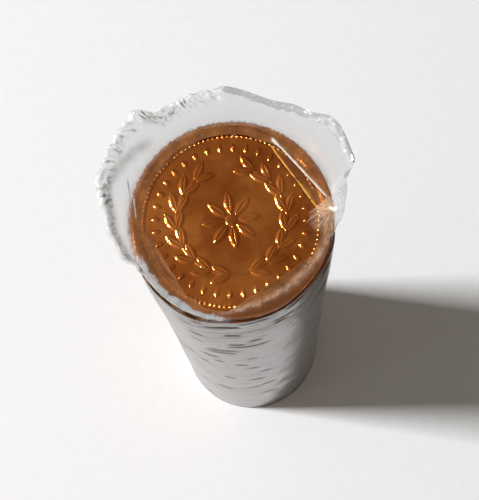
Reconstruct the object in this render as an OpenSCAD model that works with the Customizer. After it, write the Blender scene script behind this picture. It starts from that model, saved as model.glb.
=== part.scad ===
// Roll of small copper coins, wrapped in clear film and standing on one end.
// Millimetres, +Z up. The origin is on the roll's axis, on the surface it stands on.

/* [Coins] */
// Number of coins in the roll
coin_count = 50; // [10:1:50]
// Diameter of a coin
coin_d = 19.05; // [17:0.05:26]
// Thickness of a coin over its rims
coin_t = 1.45; // [1.1:0.05:2.5]
// Width of the raised rim
rim_w = 0.7; // [0.5:0.05:0.8]
// Height of the rim above the field
rim_h = 0.17; // [0.12:0.01:0.25]
// Rounding of a coin's edges
edge_r = 0.15; // [0.05:0.01:0.25]

/* [Struck face] */
// Height of the struck design above the field
relief_h = 0.12; // [0.05:0.01:0.12]
// Beads in the border ring
bead_count = 112; // [60:2:112]
// Diameter of a bead
bead_d = 0.32; // [0.2:0.01:0.36]
// Distance from the coin's edge to the middle of the bead ring
bead_inset = 1.13; // [1.1:0.01:1.4]
// Grains in the ring inside the beads
grain_count = 36; // [24:2:44]
// Length of a grain
grain_l = 0.8; // [0.4:0.05:0.9]
// Width of a grain
grain_w = 0.4; // [0.2:0.05:0.5]
// Distance from the coin's edge to the middle of the ring of grains
grain_inset = 2.3; // [2.1:0.05:2.5]
// Radius of the two branches of the wreath
wreath_r = 5.3; // [4.8:0.1:5.4]
// Length of a leaf
leaf_l = 2.1; // [1.5:0.1:2.4]
// Width of a leaf
leaf_w = 0.8; // [0.5:0.05:1]
// Leaf pairs on a branch
leaf_pairs = 8; // [5:1:9]
// Width of a branch's stem
stem_w = 0.2; // [0.1:0.05:0.3]
// Petals of the rosette in the middle
petal_count = 8; // [5:1:10]
// Length of a petal
petal_l = 2.2; // [1.5:0.1:2.6]
// Width of a petal
petal_w = 0.9; // [0.5:0.05:1]
// Diameter of the boss that the petals stand round
boss_d = 1.2; // [0.8:0.1:1.6]

/* [Film] */
// Gap between the coins' edges and the film
film_gap = 0.075; // [0.03:0.005:0.2]
// Thickness of the wound turns of film
film_wall = 0.2; // [0.12:0.01:0.4]
// Depth to which the film is drawn in between two coins
groove_depth = 0.06; // [0.02:0.01:0.1]
// Width of the film's groove between two coins
groove_w = 0.5; // [0.3:0.05:0.8]

/* [Foot] */
// Thickness of the gathered film under the bottom coin
foot_t = 0.25; // [0.15:0.05:0.6]
// Width of the film gathered under the bottom coin
foot_w = 3; // [2:0.1:5]
// Rounding of the film at the foot of the roll
foot_round = 0.15; // [0.05:0.01:0.2]

/* [Top fold] */
// Thickness of the film folded over the top coin
fold_t = 0.12; // [0.05:0.01:0.3]
// Width of the fold where it follows the rim
fold_w = 1.1; // [0.8:0.1:1.4]
// Width of the fold at the left
fold_left_w = 2.1; // [1.5:0.1:4]
// Width of the fold at the front
fold_front_w = 2.3; // [1.5:0.1:4]
// Width of the bunched fold at the right
fold_right_w = 2; // [1.5:0.1:4]
// Width of the fold at the back right
fold_corner_w = 2.3; // [1.5:0.1:4]
// Width of the fold at the back
fold_back_w = 1.2; // [1:0.1:4]

/* [Collar] */
// Height of the film's lip at the front
lip_h = 0.5; // [0.3:0.1:1]
// Length of film that stands up where the collar is tallest
collar_l = 6.3; // [3:0.1:9]
// Lean of the collar's free edge where it is tallest, in degrees
collar_flare = 62; // [20:1:80]
// Pleats around the collar
pleat_count = 45; // [20:1:60]
// Depth of a pleat at the free edge
pleat_depth = 0.3; // [0:0.05:0.5]
// Thickness of the crumpled free edge
hem_t = 0.45; // [0.2:0.05:0.6]

/* [Hidden] */
coin_r = coin_d / 2;
field_r = coin_r - rim_w - rim_h;
stack_top = foot_t + coin_count * coin_t;
film_in_r = coin_r + film_gap;
film_out_r = film_in_r + film_wall;

// Overlap of cutting and fused shapes
sink = 0.05;
// Opening at the top of the wreath, in degrees to each side
wreath_gap = 24;
// Turn of a leaf away from its branch, in degrees
leaf_turn = 24;
// Directions of the straight creases in the top fold, in degrees from +X
left_crease = 202;
front_crease = 295;
right_crease = 350;
corner_crease = 26;
back_crease = 62;

// Where the collar stands: degrees from +X, the share of its full length, and how deep its pleats are there
COLLAR = [
    [-24, 0, 0], [-16, 0.14, 0], [-7, 0.34, 0], [5, 0.5, 0], [13, 0.9, 0.2], [30, 1, 0.2], [45, 0.78, 0.2],
    [62, 0.66, 0.3], [90, 0.8, 1], [117, 0.74, 1], [125, 1, 1], [155, 0.97, 1], [177, 0.67, 1],
    [190, 0.4, 0.5], [203, 0, 0], [336, 0, 0]
];
collar_start = COLLAR[0][0];
// Rows of faces up the collar, columns to a pleat
collar_rows = 6;
pleat_columns = 4;
// The lean rises quickly with the collar's length, and levels off
lean_power = 0.4;

copper = [0.55, 0.30, 0.13];
film_clear = [0.86, 0.86, 0.85, 0.5];

function coin_name(i) = str("coin_", i < 10 ? "0" : "", i);

$fn = 96;

// Half the coin's section: flat between its rims, with rounded edges and a sunk field on each side
module coin_section() {
    difference() {
        union() {
            square([coin_r - edge_r, coin_t]);
            translate([0, edge_r]) square([coin_r, coin_t - 2 * edge_r]);
            for (z = [edge_r, coin_t - edge_r]) translate([coin_r - edge_r, z]) circle(edge_r);
        }
        field_section();
        translate([0, coin_t]) mirror([0, 1]) field_section();
    }
}

// Section of the sunk field, with a sloping step up to the rim
module field_section() {
    polygon([
        [0, -sink], [field_r + rim_h + sink, -sink], [field_r, rim_h], [0, rim_h]
    ]);
}

// Pointed oval of a leaf or a petal, lying along +X and centred
module lens(length, width) {
    bow_r = (length * length + width * width) / (4 * width);
    offset_y = bow_r - width / 2;
    intersection() {
        translate([0, offset_y]) circle(bow_r);
        translate([0, -offset_y]) circle(bow_r);
    }
}

// One branch of the wreath, from the foot of the coin's face up its right side: each leaf springs from the stem
module branch() {
    climb = (180 - wreath_gap) / leaf_pairs;
    for (i = [0:leaf_pairs - 1], side = [-1, 1])
        rotate(climb * (i + 0.5) - 90)
            translate([wreath_r, 0])
                rotate(90 - side * leaf_turn) translate([leaf_l / 2, 0]) lens(leaf_l, leaf_w);
}

// Stems of both branches, open at the top
module stems() {
    reach = 2 * wreath_r;
    difference() {
        circle(wreath_r + stem_w / 2);
        circle(wreath_r - stem_w / 2);
        polygon([[0, 0], [-reach * tan(wreath_gap), reach], [reach * tan(wreath_gap), reach]]);
    }
}

// Plain design on a face that shows: a border of beads and grains, a wreath and a rosette
module struck_design() {
    translate([0, 0, -sink]) linear_extrude(relief_h + sink) {
        for (i = [1:bead_count])
            rotate(360 * i / bead_count) translate([coin_r - bead_inset, 0]) circle(bead_d / 2);
        for (i = [1:grain_count])
            rotate(360 * i / grain_count) translate([coin_r - grain_inset, 0]) lens(grain_l, grain_w);
        branch();
        mirror([1, 0]) branch();
        stems();
        for (i = [1:petal_count])
            rotate(360 * i / petal_count) translate([(boss_d + petal_l) / 2 - sink, 0]) lens(petal_l, petal_w);
        circle(boss_d / 2);
    }
}

// One coin of the stack, counted from the foot; the two end coins are struck on the face that shows
module coin(i) {
    color(copper) translate([0, 0, foot_t + (i - 1) * coin_t]) {
        rotate_extrude() coin_section();
        if (i == coin_count) translate([0, 0, coin_t - rim_h]) struck_design();
        if (i == 1) translate([0, 0, rim_h]) rotate([180, 0, 0]) struck_design();
    }
}

// Turns of film round the side, drawn in at each joint between two coins
function wall_side(r) = [
    for (i = [1:coin_count - 1], step = [-1, 0, 1])
        [r - (step == 0 ? groove_depth : 0), foot_t + i * coin_t + step * groove_w / 2]
];

function reversed(points) = [for (i = [len(points) - 1:-1:0]) points[i]];

module film_sleeve() {
    color(film_clear) rotate_extrude() polygon(concat(
        [[film_out_r, foot_t]], wall_side(film_out_r), [[film_out_r, stack_top]],
        [[film_in_r, stack_top]], reversed(wall_side(film_in_r)), [[film_in_r, foot_t]]
    ));
}

// Film gathered flat under the bottom coin, with a many-sided mouth and a rounded outer edge
module film_bottom_fold() {
    color(film_clear) difference() {
        rotate_extrude() {
            square([film_out_r - foot_round, foot_t]);
            translate([0, foot_round]) square([film_out_r, foot_t - foot_round]);
            translate([film_out_r - foot_round, foot_round]) circle(foot_round);
        }
        translate([0, 0, -sink]) cylinder(r = coin_r - foot_w, h = foot_t + 2 * sink, $fn = 12);
    }
}

// Ground inside a straight crease that lies across the given direction
module inside_crease(direction, distance) {
    rotate(direction) translate([distance - 2 * coin_d, -coin_d]) square([2 * coin_d, 2 * coin_d]);
}

// Film folded over the top coin's rim: its mouth follows the rim and is cut by straight creases
module film_top_fold() {
    color(film_clear) translate([0, 0, stack_top]) linear_extrude(fold_t) difference() {
        circle(coin_r);
        intersection() {
            circle(coin_r - fold_w);
            inside_crease(left_crease, coin_r - fold_left_w);
            inside_crease(front_crease, coin_r - fold_front_w);
            inside_crease(right_crease, coin_r - fold_right_w);
            inside_crease(corner_crease, coin_r - fold_corner_w);
            inside_crease(back_crease, coin_r - fold_back_w);
        }
    }
}

// Column k of COLLAR at an angle, eased between its places
function ease(t) = t * t * (3 - 2 * t);
function between(a, b, angle, k) = a[k] + (b[k] - a[k]) * ease((angle - a[0]) / (b[0] - a[0]));
function collar_at(angle, k, i = 0) =
    angle <= COLLAR[i + 1][0] ? between(COLLAR[i], COLLAR[i + 1], angle, k) : collar_at(angle, k, i + 1);

// Point of one skin of the collar: the film bends outwards along an arc, and its pleats grow up its length
function collar_point(angle, u, side) =
    let (
        share = collar_at(angle, 1),
        length = lip_h + (collar_l - lip_h) * share,
        flare = max(0.1, collar_flare * pow(share, lean_power)),
        bend_r = length / (flare * PI / 180),
        lean = flare * u,
        wave = pleat_depth * collar_at(angle, 2) * u * u * sin(pleat_count * angle),
        half_wall = (film_wall + (hem_t - film_wall) * share * pow(u, 4)) / 2,
        out = wave + side * half_wall,
        r = film_out_r - film_wall / 2 + bend_r * (1 - cos(lean)) + out * cos(lean),
        z = stack_top + bend_r * sin(lean) - out * sin(lean)
    )
    [r * cos(angle), r * sin(angle), z];

// The film's margin that stands up round the top end, low at the front and flared elsewhere
module film_collar() {
    columns = pleat_columns * pleat_count;
    rings = 2 * (collar_rows + 1);
    // Rings of points: up the outer skin, then down the inner skin
    points = [
        for (k = [0:rings - 1], c = [0:columns - 1])
            let (outer = k <= collar_rows, row = outer ? k : rings - 1 - k)
            collar_point(collar_start + 360 * c / columns, row / collar_rows, outer ? 1 : -1)
    ];
    faces = [
        for (k = [0:rings - 1], c = [0:columns - 1])
            let (
                next_c = (c + 1) % columns,
                next_k = (k + 1) % rings,
                a = k * columns + c,
                b = k * columns + next_c,
                d = next_k * columns + c,
                e = next_k * columns + next_c
            )
            each [[a, d, e], [a, e, b]]
    ];
    color(film_clear) polyhedron(points, faces);
}

for (i = [1:coin_count]) coin(i);
film_sleeve();
film_bottom_fold();
film_top_fold();
film_collar();
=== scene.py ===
import math

import bmesh
import bpy
from mathutils import Matrix, Vector, noise


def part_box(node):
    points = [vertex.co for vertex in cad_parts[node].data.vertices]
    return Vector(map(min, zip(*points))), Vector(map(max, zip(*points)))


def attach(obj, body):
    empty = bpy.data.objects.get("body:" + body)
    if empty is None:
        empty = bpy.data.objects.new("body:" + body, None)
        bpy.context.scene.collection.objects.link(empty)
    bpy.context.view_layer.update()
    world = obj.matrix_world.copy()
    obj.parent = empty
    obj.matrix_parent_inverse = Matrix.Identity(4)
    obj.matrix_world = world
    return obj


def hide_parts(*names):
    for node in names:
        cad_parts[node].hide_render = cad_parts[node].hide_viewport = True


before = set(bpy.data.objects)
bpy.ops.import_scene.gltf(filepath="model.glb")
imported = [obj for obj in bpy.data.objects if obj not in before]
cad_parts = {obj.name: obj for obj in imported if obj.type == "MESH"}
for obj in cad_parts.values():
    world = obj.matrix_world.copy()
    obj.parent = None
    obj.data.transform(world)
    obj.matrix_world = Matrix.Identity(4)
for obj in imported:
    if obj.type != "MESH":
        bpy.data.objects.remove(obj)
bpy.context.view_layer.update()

MM = 0.001

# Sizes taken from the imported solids
SLEEVE_LOW, SLEEVE_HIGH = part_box("film_sleeve")
FILM_R = SLEEVE_HIGH[0]
FOOT_Z = SLEEVE_LOW[2]
RIM_Z = SLEEVE_HIGH[2]
COINS = sorted(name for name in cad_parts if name.startswith("coin_"))
BOTTOM_COIN, TOP_COIN = COINS[0], COINS[-1]
COIN_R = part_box(TOP_COIN)[1][0]
COIN_T = (RIM_Z - FOOT_Z) / len(COINS)

# The struck coin; STEM_H and BOSS_H are shares of RELIEF_H, and VEIN_W is a share of a leaf's width
RIM_W = 0.7 * MM
RIM_H = 0.17 * MM
EDGE_R = 0.15 * MM
RELIEF_H = 0.13 * MM
FIELD_R = COIN_R - RIM_W - RIM_H
BEADS = 112
BEAD_R = 0.14 * MM
BEAD_RING_R = COIN_R - 1.13 * MM
GRAINS = 36
GRAIN_RING_R = COIN_R - 2.3 * MM
GRAIN_L = 0.8 * MM
GRAIN_W = 0.42 * MM
WREATH_R = 5.3 * MM
WREATH_GAP = math.radians(24)
LEAF_PAIRS = 8
LEAF_L = 2.1 * MM
LEAF_W = 0.85 * MM
LEAF_TURN = math.radians(24)
STEM_W = 0.24 * MM
STEM_H = 0.7
PETALS = 8
PETAL_L = 2.2 * MM
PETAL_W = 0.95 * MM
BOSS_R = 0.6 * MM
BOSS_H = 0.9
VEIN_DEPTH = 0.45
VEIN_W = 0.08
FACE_CELLS = 250

# The standing collar: degrees from +X, and the share of its full length
COLLAR = [
    (-24, 0), (-16, 0.14), (-7, 0.34), (5, 0.5), (13, 0.86), (30, 0.96), (45, 0.72), (62, 0.6),
    (90, 0.77), (117, 0.74), (125, 1), (155, 0.97), (177, 0.67), (190, 0.5), (204, 0), (336, 0),
]
COLLAR_START = COLLAR[0][0]
COLLAR_COLUMNS, COLLAR_ROWS = 960, 40
COLLAR_L = 6.3 * MM
COLLAR_FLARE = math.radians(62)
LEAST_FLARE = 0.02
LEAN_POWER = 0.4
# The collar's arcs are measured this far outside the roll
ARC_OUT = 2.4 * MM
LIP_L = 0.12 * MM
LIP_ROLL = math.radians(165)
LIP_AT = (194, 262)
LIP_EDGE_R = 9.22 * MM
LOW_LIP_L = 0.24 * MM
LOW_LIP_LEAN = math.radians(80)
FRILL_FROM, FRILL_TO = 82, 200
FRILL_W = 1.5 * MM
FRILL_PITCH = 0.8 * MM
FRILL_DEPTH = 0.06 * MM
FRILL_SLANT = 0.6
FRILL_SHORT = 0.25 * MM
NOTCH_AT = (109, 129)
ROLL_L = 0.6 * MM
ROLL_TURN = math.radians(130)
HEM_FROM, HEM_TO = 11, 88
HEM_COLUMNS, HEM_ROWS = 218, 8
HEM_W = 0.85 * MM
HEM_GAP = 0.1 * MM
LOOP_TO = 42
LOOP_GAP = 0.2 * MM

# Marks on the collar, as degrees from +X: from, to, and how softly they end
# The strokes, stand, stripe, band and dull marks grey the film as painted shade
STROKES_AT = (FRILL_FROM, 172, 8)
STROKE_BACK = (0.4 * MM, 1.7 * MM, 0.3 * MM)
STRIPE_AT = (156, FRILL_TO, 8)
STRIPE_BACK = 0.95 * MM
STRIPE_W = 0.65 * MM
BAND_AT = (124, 174, 10)
STAND_AT = (-26, 11, 8)
KNOT_AT = (2, 14, 5)
KNOT_W = 1.2 * MM
DULL_AT = (8, 46, 8)
DULL_W = 0.8 * MM
# Painted shade along the collar's base where it meets the coin: where, and how high it reaches
BASE_SHADE_AT = (14, 198, 10)
BASE_SHADE_H = 0.3 * MM
HIGH_BASE_SHADE_AT = (150, 204, 15)
HIGH_BASE_SHADE_H = 0.2 * MM

# The fold over the top coin, with straight creases:
# degrees from +X, distance from the middle and unevenness
CREASES = [
    (202, 7.4 * MM, 0.08 * MM),
    (295, 7.25 * MM, 0.1 * MM),
    (62, 8.3 * MM, 0.1 * MM),
    (32, 8.15 * MM, 0.02 * MM),
]
UNDER_CREASE = (26, 7.2 * MM, 0.06 * MM)
UNDER_FROM, UNDER_TO = -12, 64
NICK = (177.6, 9.02 * MM, 0)
NICK_AT = (156, 171, 3)
NICK_W = 0.07 * MM
FOLD_COLUMNS, FOLD_ROWS = 480, 32
FOLD_MOUTH_R = 8.45 * MM
FOLD_OUTER_R = FILM_R - 0.06 * MM
FOLD_LIFT = 0.05 * MM
TURN_LIFT = 0.1 * MM
# From here outwards the fold bends down over the coin's edge; in millimetres
FOLD_DROP_R = 9.35
# Where the film is drawn in tightly over the top coin's edge, and how far
TIGHT_AT = (194, 346, 12)
TIGHT = 0.17 * MM
# Where the fold's mouth is narrower and has a soft edge, and by how much
SOFT_AT = (100, 196, 14)
SOFT_W = 0.3 * MM
# Where the mouth is wider, and by how much
RIGHT_MOUTH_AT = (-8, 26, 10)
RIGHT_MOUTH = 0.8 * MM
FRONT_MOUTH_AT = (236, 268, 10)
FRONT_MOUTH = 0.45 * MM
# Where the bunched film leaves the fold clear, and where its under turn is milky all the same
CLEAR_AT = (-16, 6, 6)
LOW_MILK_AT = (-10, 17, 8)
# Where the creases of the two turns carry a painted highlight, how broadly, and where it breaks off
UPPER_SHINE_AT = (3, 56, 2)
UNDER_SHINE_AT = (-3, 55, 2)
SHINE_W = 0.15 * MM
BROAD_SHINE_AT = (4, 22, 8)
BROAD_SHINE_W = 0.11 * MM
SHINE_GAPS = [(21.5, 25, 1.2), (4, 6, 0.8)]
# The frosted band of the fold, its distance from the middle in millimetres, and the bare film outside it
FROST_AT = (252, 350, 10)
FROST_MIDDLE = 290
FROST_R = 8.4
# Outside the frost the bare film's haze is painted dark brown as shade over the coin's rim
BARE_AT = (256, 348, 8)
# Film bunched at the right, with the spot its shreds spread from and its painted highlight; the fan is in
# millimetres
BUNCH_FROM, BUNCH_TO = -34, 4
BUNCH_R = 7.3 * MM
BUNCH_H = 0.2
FAN_SPOT = Vector((9.6, -0.6))
FAN_WAY = Vector((0.8, -0.6))
FAN_REACH = 2.4
SHRED_REACH = 2.8
HIGHLIGHT_L, HIGHLIGHT_W = 0.42, 0.16

# The gathered foot
FOOT_COLUMNS, FOOT_ROWS = 240, 12
FOOT_W = 3 * MM
FOOT_BEND = 0.25
PLEATS = 26
PLEAT_H = 0.04 * MM

# The film of the side
FILM_T = 0.05 * MM
FILM_MIRROR = 0.025
# How far milky film is lit by its own slope; the rest of its light comes through it from above
MILK_LEAN = 0.4
SIDE_COLUMNS = 216
# Rows of film to a coin: how far up its thickness, how far the film is drawn in,
# and how much painted shade of the gap between coins shows
SLIT_ROWS = [(0, 0, 0.1), (0.1, 0.5, 1), (0.3, 1, 0.9), (0.6, 0.5, 0)]
FINE_ROWS = [(0, 0, 0), (0.06, 0.3, 0), (0.1, 0.5, 1), (0.2, 1, 1), (0.24, 0.9, 0), (0.6, 0.5, 0)]
FINE_COINS = 4
SLIT_UP = 0.1
# Long slits: how many coins down, the degrees from +X between which they run, and how wide they gape
LONG_SLITS = [
    (1, 205, 229, 1), (1, 230, 245, 1), (1, 258, 347, 1), (2, 234, 245, 0.5), (2, 262, 285, 0.6),
    (2, 291, 332, 0.7), (3, 250, 267, 0.5), (3, 300, 342, 0.6), (4, 226, 240, 0.4), (4, 312, 340, 0.5),
]
# How far the film is drawn in at any joint, and further at slits and long slits
JOINT_DEPTH = 0.01 * MM
SLIT_DEPTH = 0.06 * MM
LONG_SLIT_DEPTH = 0.08 * MM
# Where the film is slack and bulges under the top coin, and how far
BULGES = [(184, 258, 0.3 * MM), (318, 358, 0.25 * MM)]
# How far the film sways in everywhere, and further where it is loose
SWAY = 0.05 * MM
LOOSE_SWAY = 0.14 * MM
LOOSE_AT = [(150, 235, 20), (255, 352, 25)]
GAPING_AT = (270, 345, 15)
CLOUDY_AT = (180, 350, 30)
FRONT_LONG_GAP_AT = (258, 347, 6)
# Where the side lies in shade and its haze is painted warmer as shade
SHADE_SIDE_AT = (-65, 25, 30)
# How many coins down these reach, and over how many they fade
BULGE_DOWN = (20, 16)
GAPING_DOWN = (7, 5)
CLOUDY_DOWN = (12, 12)
GAP_SHADE_DOWN = (14, 10)

# Colours of milky film, and of what shows through it; several paint shade or highlights, as said at each
PALE = Vector((0.93, 0.93, 0.92))
# DUSK greys the collar's marks and hem; in the strokes, stand, stripe, band, crease, dull mark and hem that
# is painted shade
DUSK = Vector((0.16, 0.155, 0.15))
# The next three colours paint the shade of the gaps between coins, seen in the slits; the third is lighter,
# for the front right out of the lamp's light
GAP_SHADE = Vector((0.3, 0.15, 0.045))
LONG_GAP_SHADE = Vector((0.045, 0.018, 0.003))
FRONT_LONG_GAP_SHADE = Vector((0.34, 0.115, 0.03))
AMBER = Vector((0.285, 0.103, 0.029))
# A warm haze colour painted on the side that lies in shade
SHADE_SIDE_TONE = Vector((0.6, 0.46, 0.3))
# A dark brown painted as shade on the bare film over the coin's rim
RIM_SHADE = Vector((0.17, 0.052, 0.015))
BAND = Vector((0.55, 0.36, 0.25))
FROST = Vector((0.48, 0.485, 0.495))
# The next two colours paint highlights: the shine of the fold's creases and the bunch's hot spot
WARM_GLINT = Vector((1.0, 0.45, 0.07))
GLINT = Vector((1.0, 0.94, 0.84))
BLUSH = Vector((0.95, 0.62, 0.4))
WELD = 1e-7


def ease(t):
    t = min(1.0, max(0.0, t))
    return t * t * (3 - 2 * t)


def window(x, low, high, soft):
    """1 between low and high, falling to 0 over soft on each side."""
    return ease((x - low) / soft) * ease((high - x) / soft)


def rough(x, y, z=0.0):
    return noise.noise(Vector((x, y, z)))


def ridge(x, width):
    """1 at 0, falling off on both sides like a bell."""
    return math.exp(-(x / width) ** 2)


def from_x(degrees):
    """The same direction, between -180 and 180 degrees."""
    return (degrees + 180) % 360 - 180


# Shaders
class Value:
    """A number that a node gives; arithmetic on it adds Math nodes."""

    def __init__(self, finish, socket):
        self.finish = finish
        self.socket = socket

    def math(self, operation, other=None, swapped=False):
        pair = {0: self} if other is None else {int(swapped): self, int(not swapped): other}
        return self.finish.add("ShaderNodeMath", {"operation": operation}, pair)

    def __add__(self, other):
        return self.math("ADD", other)

    __radd__ = __add__

    def __mul__(self, other):
        return self.math("MULTIPLY", other)

    __rmul__ = __mul__

    def __sub__(self, other):
        return self.math("SUBTRACT", other)

    def __rsub__(self, other):
        return self.math("SUBTRACT", other, swapped=True)

    def __truediv__(self, other):
        return self.math("DIVIDE", other)

    def __pow__(self, other):
        return self.math("POWER", other)

    def clamped(self):
        return self.finish.add("ShaderNodeClamp", {}, {"Value": self})


class Finish:
    """The nodes of a material, or of the world."""

    def __init__(self, owner):
        self.owner = owner
        owner.use_nodes = True
        self.tree = owner.node_tree
        self.tree.nodes.clear()

    def add(self, kind, settings=None, values=None, out=0):
        """One node: its settings first, then the values or links of its sockets."""
        node = self.tree.nodes.new(kind)
        for key, setting in (settings or {}).items():
            if key == "stops":
                ramp = node.color_ramp
                while len(ramp.elements) < len(setting):
                    ramp.elements.new(0.5)
                for element, (position, colour) in zip(ramp.elements, setting):
                    element.position = position
                    element.color = (*colour, 1)
            else:
                setattr(node, key, setting)
        for key, value in (values or {}).items():
            if isinstance(value, Value):
                self.tree.links.new(value.socket, node.inputs[key])
            else:
                node.inputs[key].default_value = value
        return Value(self, node.outputs[out])

    def place(self):
        return self.add("ShaderNodeTexCoord", out="Object")

    def grain(self, scale, detail=3.0, stretch=(1, 1, 1), distortion=0.0):
        """Noise on the object's own coordinates, with scale in cycles a metre."""
        spot = self.add("ShaderNodeMapping", {}, {"Vector": self.place(), "Scale": stretch})
        settings = {"Vector": spot, "Scale": scale, "Detail": detail, "Distortion": distortion}
        return self.add("ShaderNodeTexNoise", {}, settings)

    def ramp(self, value, *stops):
        return self.add("ShaderNodeValToRGB", {"stops": stops}, {"Fac": value})

    def tint(self, share, first, second):
        """A colour between two others."""
        return self.add("ShaderNodeMix", {"data_type": "RGBA"}, {0: share, 6: first, 7: second}, out=2)

    def bump(self, height, distance, strength=1.0):
        values = {"Height": height, "Distance": distance, "Strength": strength}
        return self.add("ShaderNodeBump", {}, values)

    def done(self, shader, kind="ShaderNodeOutputMaterial"):
        node = self.tree.nodes.new(kind)
        self.tree.links.new(shader.socket, node.inputs["Surface"])
        return self.owner


def new_finish(name):
    return Finish(bpy.data.materials.new(name))


def copper_finish():
    """Struck copper: toned in patches, a shade of its own for each coin, with fine scuffs."""
    f = new_finish("coin_copper")
    height = f.add("ShaderNodeSeparateXYZ", {}, {"Vector": f.place()}, out="Z")
    number = ((height - FOOT_Z) / COIN_T).math("FLOOR")
    own = f.add("ShaderNodeTexWhiteNoise", {"noise_dimensions": "1D"}, {"W": number})
    toning = f.grain(140, 3)
    stain_and_shade = f.grain(420, 4, distortion=0.6)
    tone = (toning * 0.7 + stain_and_shade * 0.4 + own * 0.2 - 0.1).clamped()
    colour = f.ramp(
        tone, (0.3, (0.33, 0.075, 0.012)), (0.5, (0.5, 0.14, 0.027)), (0.7, (0.76, 0.26, 0.055))
    )
    scuff = f.grain(2600, 3, (1, 0.25, 1))
    fine = f.grain(9000, 2)
    gloss = stain_and_shade * 0.1 + scuff * 0.06 + 0.04
    shader = f.add("ShaderNodeBsdfPrincipled", {}, {
        "Base Color": colour,
        "Metallic": 1.0,
        "Roughness": gloss,
        "Normal": f.bump(scuff + fine * 0.5, 0.004 * MM, 0.6),
    })
    return f.done(shader)


def film_finish(name, clear, shine, turns=1, gloss=0.08, straight=FILM_MIRROR, wrinkle=0.0, sheen=0.2):
    """Clear film that mirrors more the flatter it is looked at, and is milky by its haze attribute.

    straight is what it mirrors seen straight on, gloss how rough the mirror is, wrinkle how creased it is,
    and sheen how far the milky film shines.
    """
    f = new_finish(name)
    facing = f.add("ShaderNodeLayerWeight", {}, {"Blend": 0.5}, out="Facing")
    mirror = 1 - (1 - facing ** 5) ** turns * (1 - straight)
    haze = f.add("ShaderNodeAttribute", {"attribute_name": "haze"}, out="Fac")
    tone = f.add("ShaderNodeAttribute", {"attribute_name": "tone"}, out="Color")
    streaks = f.grain(1500, 4)
    milk = (haze * (streaks * 1.4 + 0.3)).clamped()
    height = f.grain(1200, 3) * 0.02
    if wrinkle:
        height = height + f.grain(280, 2, (1, 1, 0.6)) * wrinkle
    uneven = f.bump(height, MM, 0.5)
    through = f.add("ShaderNodeBsdfTransparent", {}, {"Color": (clear, clear, clear, 1)})
    glossy = f.add("ShaderNodeBsdfAnisotropic", {}, {
        "Color": (shine, shine, shine, 1),
        "Roughness": gloss,
        "Normal": uneven,
    })
    film = f.add("ShaderNodeMixShader", {}, {0: mirror, 1: through, 2: glossy})
    scattered = f.add("ShaderNodeVectorMath", {"operation": "MULTIPLY_ADD"}, {
        0: uneven, 1: (MILK_LEAN, MILK_LEAN, MILK_LEAN), 2: (0, 0, 1 - MILK_LEAN),
    })
    shade = streaks * 0.5 + 0.75
    milky = f.add("ShaderNodeBsdfPrincipled", {}, {
        "Base Color": f.add("ShaderNodeVectorMath", {"operation": "SCALE"}, {0: tone, "Scale": shade}),
        "Roughness": 0.4,
        "Specular IOR Level": sheen,
        "Normal": f.add("ShaderNodeVectorMath", {"operation": "NORMALIZE"}, {0: scattered}),
    })
    return f.done(f.add("ShaderNodeMixShader", {}, {0: milk, 1: film, 2: milky}))


def floor_finish():
    f = new_finish("pale_table")
    speck = f.grain(700, 2)
    shader = f.add("ShaderNodeBsdfPrincipled", {}, {
        "Base Color": f.ramp(speck, (0.3, (0.88, 0.88, 0.88)), (0.7, (0.9, 0.9, 0.9))),
        "Roughness": 0.7,
        "Specular IOR Level": 0.2,
    })
    return f.done(shader)


# Meshes
def piece(name, bm, material, node):
    """Turns a bmesh into a finished piece that stands for the given node."""
    mesh = bpy.data.meshes.new(name)
    bm.to_mesh(mesh)
    bm.free()
    mesh.polygons.foreach_set("use_smooth", [True] * len(mesh.polygons))
    made = bpy.data.objects.new(name, mesh)
    bpy.context.scene.collection.objects.link(made)
    mesh.materials.append(material)
    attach(made, "root")
    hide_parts(node)
    return made


def film_piece(name, bm, material, node, shades):
    """A sheet of film made into a piece with two faces; a loose single turn is too thin to shade others."""
    made = piece(name, bm, material, node)
    wall = made.modifiers.new("film_wall", "SOLIDIFY")
    wall.thickness = FILM_T
    wall.offset = 0
    made.visible_shadow = shades


def add_sheet(bm, columns, rows, point):
    """Adds a grid of film: point(across, along) gives each corner's place, haze and the haze's tone."""
    haze = bm.verts.layers.float.get("haze") or bm.verts.layers.float.new("haze")
    tone = bm.verts.layers.float_color.get("tone") or bm.verts.layers.float_color.new("tone")
    made = bmesh.ops.create_grid(bm, x_segments=columns, y_segments=rows, size=0.5)["verts"]
    for v in made:
        v.co, v[haze], colour = point(v.co.x + 0.5, v.co.y + 0.5)
        v[tone] = (*colour, 1)
    bmesh.ops.remove_doubles(bm, verts=made, dist=WELD)


def around(angle, r, z):
    return Vector((r * math.cos(angle), r * math.sin(angle), z))


# The coin's face
def lens(along, across, length, width):
    """Height of a pointed, domed leaf with a sunk vein, from 0 to 1."""
    t = along / length
    if not 0 < t < 1:
        return 0.0
    half = 2 * width * t * (1 - t)
    s = abs(across) / half
    if s >= 1:
        return 0.0
    dome = math.sqrt(1 - s * s)
    vein = 1 - VEIN_DEPTH * ridge(across, VEIN_W * width)
    return dome * vein


def leaf_places():
    """Foot and direction of each leaf of the wreath, on both branches."""
    climb = (math.pi - WREATH_GAP) / LEAF_PAIRS
    for i in range(LEAF_PAIRS):
        angle = climb * (i + 0.5) - math.pi / 2
        foot = Vector((WREATH_R * math.cos(angle), WREATH_R * math.sin(angle)))
        for side in (-1, 1):
            way = angle + math.pi / 2 - side * LEAF_TURN
            yield foot, Vector((math.cos(way), math.sin(way)))
            yield Vector((-foot.x, foot.y)), Vector((-math.cos(way), math.sin(way)))


LEAVES = list(leaf_places())


def folded(angle, count):
    """The angle from the nearest of count places spread evenly round the circle."""
    step = math.tau / count
    return angle - step * round(angle / step)


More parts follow.
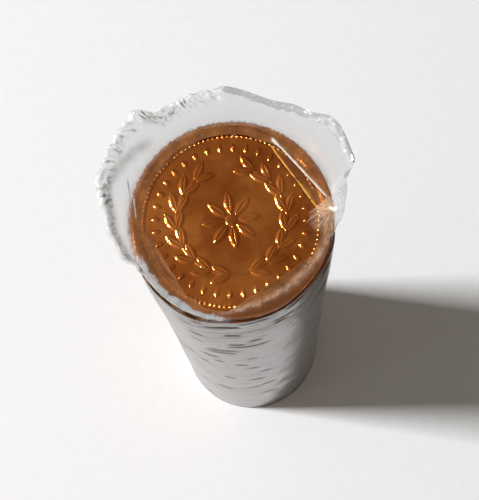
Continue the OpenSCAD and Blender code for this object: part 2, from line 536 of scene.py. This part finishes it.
def relief(x, y):
    """Height of the struck design above the field, from 0 to 1."""
    r = math.hypot(x, y)
    angle = math.atan2(y, x)
    if r > GRAIN_RING_R + GRAIN_L:
        near = folded(angle, BEADS)
        gap = math.hypot(r * math.cos(near) - BEAD_RING_R, r * math.sin(near)) / BEAD_R
        return math.sqrt(1 - gap * gap) if gap < 1 else 0.0
    if r > GRAIN_RING_R - GRAIN_L / 2:
        near = folded(angle, GRAINS)
        along = r * math.cos(near) - GRAIN_RING_R + GRAIN_L / 2
        return lens(along, r * math.sin(near), GRAIN_L, GRAIN_W)
    if r < BOSS_R:
        return BOSS_H * math.sqrt(1 - (r / BOSS_R) ** 2) ** 0.5
    if r < BOSS_R + PETAL_L:
        near = folded(angle, PETALS)
        return lens(r * math.cos(near) - BOSS_R, r * math.sin(near), PETAL_L, PETAL_W)
    height = 0.0
    off = abs(r - WREATH_R) / (STEM_W / 2)
    if off < 1 and abs(angle - math.pi / 2) > WREATH_GAP:
        height = STEM_H * math.sqrt(1 - off * off)
    spot = Vector((x, y))
    for foot, way in LEAVES:
        step = spot - foot
        along = step.dot(way)
        if 0 < along < LEAF_L:
            height = max(height, lens(along, step.cross(way), LEAF_L, LEAF_W))
    return height


def disc_spot(u, v):
    """A point of the square from -1 to 1, moved to the unit disc with even cells."""
    if u == 0 and v == 0:
        return 0.0, 0.0
    if abs(u) > abs(v):
        return u * math.cos(math.pi / 4 * v / u), u * math.sin(math.pi / 4 * v / u)
    return v * math.sin(math.pi / 4 * u / v), v * math.cos(math.pi / 4 * u / v)


def coin_outline():
    """Radius and height of the coin's edge, from the foot of the rim's step down to the lower face."""
    steps = [(FIELD_R + 0.5 * RIM_H, 0.35 * RIM_H), (FIELD_R + RIM_H, RIM_H), (COIN_R - EDGE_R, RIM_H)]
    core_r = COIN_R - EDGE_R
    top = RIM_H - EDGE_R
    bottom = RIM_H - COIN_T + EDGE_R
    for centre, first in ((top, 90), (bottom, 0)):
        for turn in (0, 30, 60, 90):
            if (centre, turn) == (top, 0):
                continue
            angle = math.radians(first - turn)
            steps.append((core_r + EDGE_R * math.cos(angle), centre + EDGE_R * math.sin(angle)))
    return steps


def struck_coin(name, node, copper, turned):
    """A coin with its design on the face that shows: the upper one, or the lower one where turned."""
    bm = bmesh.new()
    cells = bmesh.ops.create_grid(bm, x_segments=FACE_CELLS, y_segments=FACE_CELLS, size=1)["verts"]
    for v in cells:
        x, y = disc_spot(v.co.x, v.co.y)
        x, y = x * FIELD_R, y * FIELD_R
        v.co = (x, y, RELIEF_H * relief(x, y))
    rim = [e for e in bm.edges if e.is_boundary]
    last_r, last_z = FIELD_R, 0.0
    for r, z in coin_outline():
        grown = bmesh.ops.extrude_edge_only(bm, edges=rim)["geom"]
        ring = [v for v in grown if isinstance(v, bmesh.types.BMVert)]
        rim = [e for e in grown if isinstance(e, bmesh.types.BMEdge) and e.is_boundary]
        bmesh.ops.scale(bm, verts=ring, vec=(r / last_r, r / last_r, 1))
        bmesh.ops.translate(bm, verts=ring, vec=(0, 0, z - last_z))
        last_r, last_z = r, z
    bmesh.ops.edgeloop_fill(bm, edges=rim)
    if turned:
        bmesh.ops.rotate(bm, verts=bm.verts, matrix=Matrix.Rotation(math.pi, 3, "X"))
    low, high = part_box(node)
    lift = low[2] + RIM_H if turned else high[2] - RIM_H
    bmesh.ops.translate(bm, verts=bm.verts, vec=(0, 0, lift))
    bmesh.ops.recalc_face_normals(bm, faces=bm.faces)
    piece(name, bm, copper, node)


# The film
def bend(r, z, lean, turn, run, share):
    """Follows an arc of film: radius, height and lean from upright after a share of it."""
    bow = run / turn
    end = lean + turn * share
    return r + bow * (math.cos(lean) - math.cos(end)), z + bow * (math.sin(end) - math.sin(lean)), end


def fan(x, y):
    """Haze of the film bunched at the right, in shreds that spread from one spot, and the painted highlight
    there.

    x and y are in millimetres.
    """
    step = Vector((x, y)) - FAN_SPOT
    far = step.length
    shred = ease(0.1 + 2.5 * rough(math.atan2(step.y, -step.x) * 8, far * 0.7, 3.0))
    painted_highlight = ease(1.6 - math.hypot(step.dot(FAN_WAY) / HIGHLIGHT_L, step.cross(FAN_WAY) / HIGHLIGHT_W))
    haze = 0.25 * ease(1.2 - far / FAN_REACH) + 0.35 * shred * ease(1.2 - far / SHRED_REACH)
    return haze, painted_highlight


def shoulder(degrees):
    """1 where the film is drawn in tightly over the top coin's edge, at the front."""
    return window(degrees % 360, *TIGHT_AT)


def near_top(down, coins, fade):
    """1 at the top of the roll, falling to 0 some coins down."""
    return ease((coins - down) / fade)


def film_side(material):
    """The turns round the side, drawn in at the joints between coins, more here and less there."""
    levels = []
    for joint in range(len(COINS)):
        rows = FINE_ROWS if joint >= len(COINS) - FINE_COINS else SLIT_ROWS
        levels += [(joint, *row) for row in rows]
    levels += [(len(COINS), *row) for row in SLIT_ROWS[:2]]
    last_row = len(levels) - 1
    bm = bmesh.new()

    def point(across, along):
        angle = math.tau * across
        degrees = math.degrees(angle)
        x, y = math.cos(angle), math.sin(angle)
        joint, up, drawn, shade = levels[round(along * last_row)]
        number = min(len(COINS), max(0, joint + up - SLIT_UP))
        down = len(COINS) - number

        pull = rough(3 * x + 7.3 * joint, 3 * y - 3.1 * joint, 0.4 * joint)
        pull += 0.25 * window(degrees, *GAPING_AT) * near_top(down, *GAPING_DOWN)
        slit = ease(4 * pull - 0.65 - 1.2 * down / len(COINS))
        torn = 0.0
        for coins_down, first, last, gape in LONG_SLITS:
            if joint + coins_down == len(COINS):
                torn = max(torn, gape * window(degrees, first, last, 5))

        ends = ease(number) * ease(down)
        depth = JOINT_DEPTH + SLIT_DEPTH * slit + LONG_SLIT_DEPTH * torn
        loose = max(window(degrees, *stretch) for stretch in LOOSE_AT)
        sway = SWAY * (0.5 + 0.5 * rough(1.7 * x, 1.7 * y, number * 0.4))
        sway += LOOSE_SWAY * loose * (0.5 + 0.5 * rough(5 * x, 5 * y, number * 0.25))
        tight = TIGHT * shoulder(degrees) * ease((1 - down) / 0.1)
        below = down - 1
        ledge = near_top(below, *BULGE_DOWN) * (0.9 * ease(below / 0.1 + 1) + 0.1 * ease(below / 0.1))
        bulge = ledge * sum(out * window(degrees, first, last, 20) for first, last, out in BULGES)
        r = FILM_R - FILM_T - ends * depth * drawn - sway - tight + bulge

        streaky = 0.05 * ease(0.2 + 1.6 * rough(3 * x, 3 * y, number * 2.3))
        cloud = 0.35 * window(degrees, *CLOUDY_AT) * near_top(down, *CLOUDY_DOWN)
        cloud *= ease(0.2 + 2 * rough(3 * x, 3 * y, number * 1.5))
        frost = 0.7 * window(degrees, *LIP_AT, 12) * ease(0.8 - down)
        haze = max(streaky, cloud, frost)
        # Painted shade of the gaps between coins, seen in the slits' haze; lighter at the front right, out
        # of the lamp's light
        gap_shade = shade * max(slit * (0.42 + 0.5 * near_top(down, *GAP_SHADE_DOWN)), 1.4 * torn)
        gap_shade_tone = GAP_SHADE.lerp(LONG_GAP_SHADE.lerp(FRONT_LONG_GAP_SHADE, window(degrees, *FRONT_LONG_GAP_AT)), torn)
        # A warmer haze tone on the side in the lamp's shade: painted warmth of the shade
        tone = FROST.lerp(SHADE_SIDE_TONE, window(from_x(degrees), *SHADE_SIDE_AT))
        tone = tone.lerp(gap_shade_tone, min(1, 2 * gap_shade / (haze + 0.05)))
        return around(angle, r, FOOT_Z + number * COIN_T), max(haze, gap_shade), tone

    add_sheet(bm, SIDE_COLUMNS, last_row, point)
    film_piece("film_side", bm, material, "film_sleeve", True)


def collar_share(degrees):
    """Share of the collar's full length that stands at an angle."""
    for (low, a), (high, b) in zip(COLLAR, COLLAR[1:]):
        if degrees <= high:
            return a + (b - a) * ease((degrees - low) / (high - low))
    return 0.0


class CollarLine:
    """The collar along one line from its base to its free edge."""

    def __init__(self, degrees):
        self.angle = math.radians(degrees)
        self.share = collar_share(degrees)
        self.frill = window(degrees, FRILL_FROM, FRILL_TO, 6)
        self.low = (1 - min(1, 4 * self.share)) ** 2
        self.rolled = self.low * window(degrees, *LIP_AT, 10)
        self.arc = self.angle * (FILM_R + ARC_OUT)
        ragged = self.share * (0.04 + 0.2 * self.frill) * MM * rough(self.arc / (0.6 * MM), 3.7)
        lip = LOW_LIP_L + self.rolled * LIP_L * (0.7 + 0.5 * rough(self.arc / (1.3 * MM), 8.8))
        self.length = lip + (COLLAR_L - lip) * self.share + ragged - FRILL_SHORT * self.frill
        curl = self.frill * (1 - 0.8 * window(degrees, *NOTCH_AT, 6))
        self.roll = min(ROLL_L * (0.15 + 0.85 * curl), 0.3 * self.length)
        self.turn = ROLL_TURN * max(0.05, curl)
        lean = LIP_ROLL * self.rolled - LOW_LIP_LEAN * (self.low - self.rolled)
        self.flare = COLLAR_FLARE * self.share ** LEAN_POWER + lean
        if abs(self.flare) < LEAST_FLARE:
            self.flare = LEAST_FLARE
        self.base_r = FILM_R - FILM_T / 2 - TIGHT * shoulder(degrees)
        self.sway = self.share * 0.3 * MM * rough(self.angle * 2.2, 5.5)

    def spot(self, back, out):
        """A point back from the free edge along the film, and out from it."""
        main = self.length - self.roll
        run = self.length - back
        r, z, lean = bend(self.base_r, RIM_Z, 0, self.flare, main, min(1, run / main))
        if run > main:
            r, z, lean = bend(r, z, lean, self.turn, self.roll, (run - main) / self.roll)
        return around(self.angle, r + out * math.cos(lean), z - out * math.sin(lean))


def film_collar(material):
    """The margin that stands up: frilled at the left and back, hemmed at the right, low at the front."""
    bm = bmesh.new()

    def point(across, along):
        degrees = COLLAR_START + 360 * across
        line = CollarLine(degrees)
        back = (1 - along) ** 1.7 * line.length
        along = 1 - back / line.length

        def uneven(size, layer):
            return rough(line.arc / size, back / size, layer)

        edge = line.frill * ease(1.3 - back / FRILL_W)
        sharp = window(degrees, *STROKES_AT)
        jitter = 1.1 * rough(line.arc / (2.2 * MM), 9.1) + 0.5 * uneven(0.9 * MM, 0.0)
        phase = math.tau * ((line.arc + FRILL_SLANT * back) / FRILL_PITCH + jitter)
        pleat = math.sin(phase) + 0.35 * math.sin(2 * phase)
        wave = FRILL_DEPTH * edge * (0.1 + 0.9 * sharp) * pleat
        crumple = 0.06 * edge * (0.3 + 0.7 * sharp) + 0.08 * line.rolled
        lump = crumple * MM * uneven(0.5 * MM, 2.0)
        fold = 0.2 * MM * line.share * along * rough(line.angle * 5, along * 2.5, 1.7)
        spot = line.spot(back, wave + lump + fold + line.sway * along)

        # Dark strokes along the pleats' folds: painted shade
        stroke = sharp * window(back, *STROKE_BACK) * max(0, -math.sin(phase)) ** 9
        stroke *= ease(0.75 + 1.8 * uneven(1.2 * MM, 6.0)) * (1 - 0.7 * window(degrees, *NOTCH_AT, 5))
        puff = edge * ease(0.2 + 2.5 * uneven(0.4 * MM, 2.5)) * (0.3 + 0.7 * sharp)
        # The stand, stripe, band and crease are grey marks of painted shade
        stand = window(from_x(degrees), *STAND_AT)
        stripe = window(degrees, *STRIPE_AT) * ridge(back - STRIPE_BACK, STRIPE_W)
        band_height = 0.45 + 0.011 * (degrees - 131)
        band = 0.22 * window(degrees, *BAND_AT) * ridge(along - band_height, 0.1)
        crease = 0.4 * ridge(degrees - 163.5 + 30 * along, 0.8) * ease((0.45 - along) / 0.1)
        knot = window(degrees, *KNOT_AT) * ease(1.3 - back / KNOT_W)
        knot *= ease(0.7 + 1.5 * uneven(0.5 * MM, 9.0))
        # The dull mark greys the hem's edge as painted shade and hides its shine with haze
        dull = window(degrees, *DULL_AT) * ease(1.3 - back / DULL_W)
        # Each mark, how grey it is and how milky; the grey of all but the knot and rolled lip is painted
        # shade
        marks = [
            (stroke, 0.58, 0.4),
            (stand, 0.6, 0.4),
            (stripe, 0.38, 0.25),
            (band, 1, 1),
            (crease, 1, 1),
            (knot, 0.7, 0.4),
            (dull, 0.45, 0.45),
            (line.rolled, 0.45, 0.5),
        ]
        grey = max(mark * greyness for mark, greyness, _ in marks)
        milk = 0.01 + 0.1 * edge + 0.55 * puff + sum(mark * milkiness for mark, _, milkiness in marks)

        # The bunch's painted highlight, where it reaches the collar
        painted_highlight = fan(spot.x / MM, spot.y / MM)[1]
        pressed = line.low - line.rolled
        # Painted shade in amber along the collar's base, where it meets the coin
        height = BASE_SHADE_H + HIGH_BASE_SHADE_H * window(degrees, *HIGH_BASE_SHADE_AT)
        stain_and_shade = window(degrees, *BASE_SHADE_AT) * ridge(line.length - back, height)
        stain_and_shade *= ease(0.5 + 2.5 * rough(line.arc / (0.5 * MM), along * 9, 4.0))
        tone = PALE.lerp(DUSK, grey).lerp(AMBER, max(stain_and_shade, pressed)).lerp(GLINT, painted_highlight)
        return spot, max(milk, painted_highlight, 0.5 * stain_and_shade, 0.8 * pressed), tone

    def hem(across, along):
        degrees = HEM_FROM + (HEM_TO - HEM_FROM) * across
        line = CollarLine(degrees)
        ends = ease(across / 0.08) * ease((1 - across) / 0.08)
        loop = ease((LOOP_TO - degrees) / 8)
        ragged = 0.3 * rough(line.arc / (3 * MM), 1.3) + 0.2 * rough(line.arc / (0.6 * MM), 5.3)
        width = HEM_W * ends * (0.9 + 0.35 * loop + ragged)
        bulge = (HEM_GAP + LOOP_GAP * loop) * math.sin(math.pi * min(1.0, along * 1.1 + 0.12))
        white = ease(3 * rough(line.arc / (0.5 * MM), 3 * along, 7.0) - 0.4)
        # The hem's grey is partly its doubled film and partly painted shade
        tone = DUSK.lerp(PALE, 0.3 + 0.2 * loop + 0.35 * white)
        return line.spot(width * along, line.sway - bulge), 0.2 + 0.4 * loop + 0.3 * white, tone

    add_sheet(bm, COLLAR_COLUMNS, COLLAR_ROWS, point)
    add_sheet(bm, HEM_COLUMNS, HEM_ROWS, hem)
    film_piece("film_frill", bm, material, "film_collar", False)


def crease_gap(angle, r, crease):
    """How far outside a straight crease a point of the fold lies."""
    degrees, distance, _ = crease
    return r * math.cos(angle - math.radians(degrees)) - distance


def mouth_r(angle, creases, wide):
    """Distance from the middle to the fold's inner edge, where straight creases cut its round mouth."""
    r = FOLD_MOUTH_R + wide + 0.06 * MM * rough(3 * math.cos(angle), 3 * math.sin(angle), 4.2)
    for degrees, distance, uneven in creases:
        turn = math.cos(angle - math.radians(degrees))
        if turn > 0.1:
            bow = uneven * rough(9 * math.cos(angle), 9 * math.sin(angle), degrees)
            r = min(r, distance / turn + bow)
    return r


def film_fold(material):
    """The margin folded over the top coin: two turns that end in straight creases, and a bunched spot."""
    bm = bmesh.new()

    def turn_of_film(creases, lift, first, last, milk, low_milk, bright, shine):
        """A turn of the fold between two angles.

        milk is its haze, low_milk its least haze at the right, bright gives how strongly and how widely a
        painted highlight runs along its last crease at some degrees, and shine is the colour of that
        highlight.
        """
        def point(across, along):
            degrees = first + (last - first) * across
            angle = math.radians(degrees)
            side = from_x(degrees)
            soft = window(degrees, *SOFT_AT)
            rolled = window(degrees, LIP_AT[0] - 4, LIP_AT[1], 10)

            outer = FOLD_OUTER_R - 0.7 * TIGHT * shoulder(degrees)
            wider = RIGHT_MOUTH * window(side, *RIGHT_MOUTH_AT)
            wider += FRONT_MOUTH * window(degrees, *FRONT_MOUTH_AT)
            inner = mouth_r(angle, creases, wider - SOFT_W * soft)
            r = outer + (inner - outer) * along
            x, y = r * math.cos(angle) / MM, r * math.sin(angle) / MM
            edge = (1 - soft) * ease(1.4 - (r - inner) / (0.22 * MM))
            drop = (1.1 - 0.7 * rolled) * max(0, r / MM - FOLD_DROP_R) ** 2
            z = RIM_Z + lift + (0.02 * rough(x / 0.8, y / 0.8, lift / MM) + 0.06 * edge - drop) * MM

            past = degrees % 360 - FROST_MIDDLE
            bow = 0.0006 if past < 0 else 0.0004
            frost_r = FROST_R + bow * past ** 2 + 0.15 * rough(degrees / 4, 7.7)
            frost_w = 0.3 + 0.15 * ease(past / 30)
            frost = 0.36 * window(degrees % 360, *FROST_AT) * ridge(r / MM - frost_r, frost_w)
            frost *= 0.6 + 0.4 * rough(x * 1.6, y * 1.6, 2.2) + 0.6 * rough(x * 7, y * 7, 4.4)
            ragged = 0.25 * rough(x * 1.2, y * 1.2, 6.1) + 0.15 * rough(x * 3.3, y * 3.3, 2.1)
            lip_edge = LIP_EDGE_R + (ragged + 0.25 * ease((degrees - 225) / 20)) * MM
            lip = 0.75 * rolled * ease((r - lip_edge) / (0.4 * MM) + 0.5)
            nick = ridge(crease_gap(angle, r, NICK), NICK_W) * window(degrees, *NICK_AT)
            frost = max(0.0, frost, lip, 0.5 * nick)

            # A painted highlight along the last crease, in the colour shine
            share, broad = bright(side)
            glow = share * ridge(crease_gap(angle, r, creases[-1]), broad)
            near = low_milk * window(side, *LOW_MILK_AT)
            # Painted shade on the bare film outside the frosted band
            bare = window(degrees % 360, *BARE_AT) * ease((r / MM - frost_r) / 0.25)
            under = (1 - window(side, *CLEAR_AT)) * (1 - 0.35 * bare)
            under *= 1 - soft * (1 - ease((r - inner) / (1.6 * SOFT_W)))
            streak = 1 + 0.4 * rough(r / (0.3 * MM), degrees / 30, 1.9) + 0.4 * rough(x / 1.4, y / 1.4, 5.5)
            pale = BAND.lerp(FROST, max(rolled, nick))
            tone = (streak * AMBER).lerp(RIM_SHADE, bare).lerp(pale, min(1, 3 * frost)).lerp(shine, glow)
            return around(angle, r, z), max(milk * under, frost, glow, near), tone
        return point

    def bunch(across, along):
        degrees = BUNCH_FROM + (BUNCH_TO - BUNCH_FROM) * across
        angle = math.radians(degrees)
        ends = ease(across / 0.25) * ease((1 - across) / 0.25)
        inner = FOLD_OUTER_R + (BUNCH_R - FOLD_OUTER_R) * (0.25 + 0.75 * ends)
        inner += 0.5 * MM * rough(degrees / 5, 2.2)
        r = FOLD_OUTER_R + (inner - FOLD_OUTER_R) * along
        x, y = r * math.cos(angle) / MM, r * math.sin(angle) / MM
        drop = 1.1 * max(0, r / MM - FOLD_DROP_R) ** 2
        height = BUNCH_H + 0.08 * ends * rough(x / 0.8, y / 0.8, 8.0) - drop
        # The spot in the middle of the bunch is a painted highlight
        milk, painted_highlight = fan(x, y)
        return around(angle, r, RIM_Z + height * MM), max(milk, painted_highlight), BLUSH.lerp(GLINT, painted_highlight)

    def upper_shine(side):
        return window(side, *UPPER_SHINE_AT), SHINE_W

    def under_shine(side):
        broken = max(window(side, *gap) for gap in SHINE_GAPS)
        broad = SHINE_W + BROAD_SHINE_W * window(side, *BROAD_SHINE_AT)
        return window(side, *UNDER_SHINE_AT) * (1 - 0.8 * broken), broad

    upper = turn_of_film(CREASES, FOLD_LIFT + TURN_LIFT, 0, 360, 0.6, 0, upper_shine, GLINT)
    under = turn_of_film([UNDER_CREASE], FOLD_LIFT, UNDER_FROM, UNDER_TO, 0.15, 0.7, under_shine, WARM_GLINT)
    add_sheet(bm, FOLD_COLUMNS, FOLD_ROWS, upper)
    add_sheet(bm, FOLD_COLUMNS // 5, FOLD_ROWS, under)
    add_sheet(bm, FOLD_COLUMNS // 8, FOLD_ROWS, bunch)
    film_piece("film_fold", bm, material, "film_top_fold", False)


def film_foot(material):
    """The margin gathered flat under the bottom coin, in radial pleats."""
    corner = FOOT_Z - 2 * FILM_T
    start_r = FILM_R - FOOT_Z
    inner_r = COIN_R - FOOT_W
    bm = bmesh.new()

    def point(across, along):
        angle = math.tau * across
        if along < FOOT_BEND:
            turn = math.pi / 2 * along / FOOT_BEND
            r = FILM_R - FILM_T - corner + corner * math.cos(turn)
            return around(angle, r, FOOT_Z - corner * math.sin(turn)), 0.1, PALE
        inward = (along - FOOT_BEND) / (1 - FOOT_BEND)
        ragged = 0.35 * MM * rough(4 * math.cos(angle), 4 * math.sin(angle), 6.0)
        r = start_r + (inner_r + ragged - start_r) * inward
        pleat = PLEAT_H * inward * (1 + math.sin(PLEATS * angle + 3 * inward))
        return around(angle, r, 2 * FILM_T + pleat), 0.12, PALE

    add_sheet(bm, FOOT_COLUMNS, FOOT_ROWS, point)
    film_piece("film_foot", bm, material, "film_bottom_fold", True)


# The set
IMAGE_W, IMAGE_H = 479, 500
FOCAL_PX = 1225.2
CAMERA_BACK = 30.63 * MM
CAMERA_UP = 184.96 * MM
CAMERA_PAN = math.radians(0.574)
CAMERA_TILT = math.radians(76.192)
CAMERA_ROLL = math.radians(-8.729)
WINDOW_WAY = (-0.96, 0.1, 0.25)
PLAIN_ROOM = 0.9
AMBIENT = (0.166, 0.15, 0.13)
TABLE_SIZE = 3


def camera():
    lens_data = bpy.data.cameras.new("camera")
    lens_data.lens = FOCAL_PX / max(IMAGE_W, IMAGE_H) * lens_data.sensor_width
    lens_data.clip_start = 1 * MM
    forward = Vector((
        math.sin(CAMERA_PAN) * math.cos(CAMERA_TILT),
        math.cos(CAMERA_PAN) * math.cos(CAMERA_TILT),
        -math.sin(CAMERA_TILT),
    ))
    right = Vector((math.cos(CAMERA_PAN), -math.sin(CAMERA_PAN), 0))
    up = right.cross(forward)
    turned_right = math.cos(CAMERA_ROLL) * right + math.sin(CAMERA_ROLL) * up
    turned_up = math.cos(CAMERA_ROLL) * up - math.sin(CAMERA_ROLL) * right
    made = bpy.data.objects.new("camera", lens_data)
    pose = Matrix((turned_right, turned_up, -forward)).transposed().to_4x4()
    pose.translation = (0, -CAMERA_BACK, CAMERA_UP)
    made.matrix_world = pose
    bpy.context.scene.collection.objects.link(made)
    bpy.context.scene.camera = made


def lamp(name, azimuth, height, distance, size, watts):
    """A square lamp that faces the roll, by the direction it stands in, in degrees."""
    data = bpy.data.lights.new(name, "AREA")
    data.size = size
    data.energy = watts
    made = bpy.data.objects.new(name, data)
    flat = math.cos(math.radians(height))
    way = Vector((
        flat * math.cos(math.radians(azimuth)),
        flat * math.sin(math.radians(azimuth)),
        math.sin(math.radians(height)),
    ))
    made.location = way * distance
    made.rotation_euler = way.to_track_quat("Z", "Y").to_euler()
    bpy.context.scene.collection.objects.link(made)
    return made


def surroundings():
    """A plain pale room: dimmer in what it lights, brighter on the window's side in what mirrors show."""
    world = bpy.data.worlds.new("room")
    bpy.context.scene.world = world
    f = Finish(world)
    way = f.add("ShaderNodeTexCoord", out="Generated")
    ways = {0: way, 1: WINDOW_WAY}
    towards = f.add("ShaderNodeVectorMath", {"operation": "DOT_PRODUCT"}, ways, out="Value")
    sides = f.ramp(
        towards * 0.5 + 0.5, (0.0, (0.22, 0.185, 0.14)), (0.6, (0.36, 0.35, 0.34)), (1.0, (1.1, 1.1, 1.1))
    )
    seen = f.add("ShaderNodeLightPath", out="Is Camera Ray")
    glossy = f.add("ShaderNodeLightPath", out="Is Glossy Ray")
    passed = f.add("ShaderNodeLightPath", out="Is Transmission Ray")
    unseen = f.tint(glossy + passed, (*AMBIENT, 1), sides)
    room = f.tint(seen, unseen, (PLAIN_ROOM, PLAIN_ROOM, PLAIN_ROOM, 1))
    f.done(f.add("ShaderNodeBackground", {}, {"Color": room, "Strength": 1.0}), "ShaderNodeOutputWorld")


def table():
    bm = bmesh.new()
    bmesh.ops.create_grid(bm, x_segments=8, y_segments=8, size=TABLE_SIZE)
    mesh = bpy.data.meshes.new("table")
    bm.to_mesh(mesh)
    bm.free()
    mesh.materials.append(floor_finish())
    made = bpy.data.objects.new("table", mesh)
    bpy.context.scene.collection.objects.link(made)


bpy.context.scene.view_settings.view_transform = "Standard"
camera()
surroundings()
window_light = lamp("window_light", azimuth=167, height=40, distance=1.5, size=0.22, watts=28.3)
window_light.data.color = (0.98, 1.0, 1.02)
sparkle_light = lamp("sparkle_light", azimuth=192, height=46, distance=0.6, size=0.03, watts=3)
sparkle_light.visible_diffuse = False
table()

copper = copper_finish()
for name in COINS[1:-1]:
    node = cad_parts[name]
    node.data.materials.clear()
    node.data.materials.append(copper)
struck_coin("top_coin", TOP_COIN, copper, False)
struck_coin("bottom_coin", BOTTOM_COIN, copper, True)

film = film_finish("clear_film", clear=0.9, shine=0.8)
wound = film_finish("wound_film", clear=0.8, shine=0.69, turns=1.4, gloss=0.2, wrinkle=0.45, sheen=0.0)
folded_over = film_finish("folded_film", clear=0.97, shine=0.8, straight=0.006)
film_side(wound)
film_collar(film)
film_fold(folded_over)
film_foot(film)
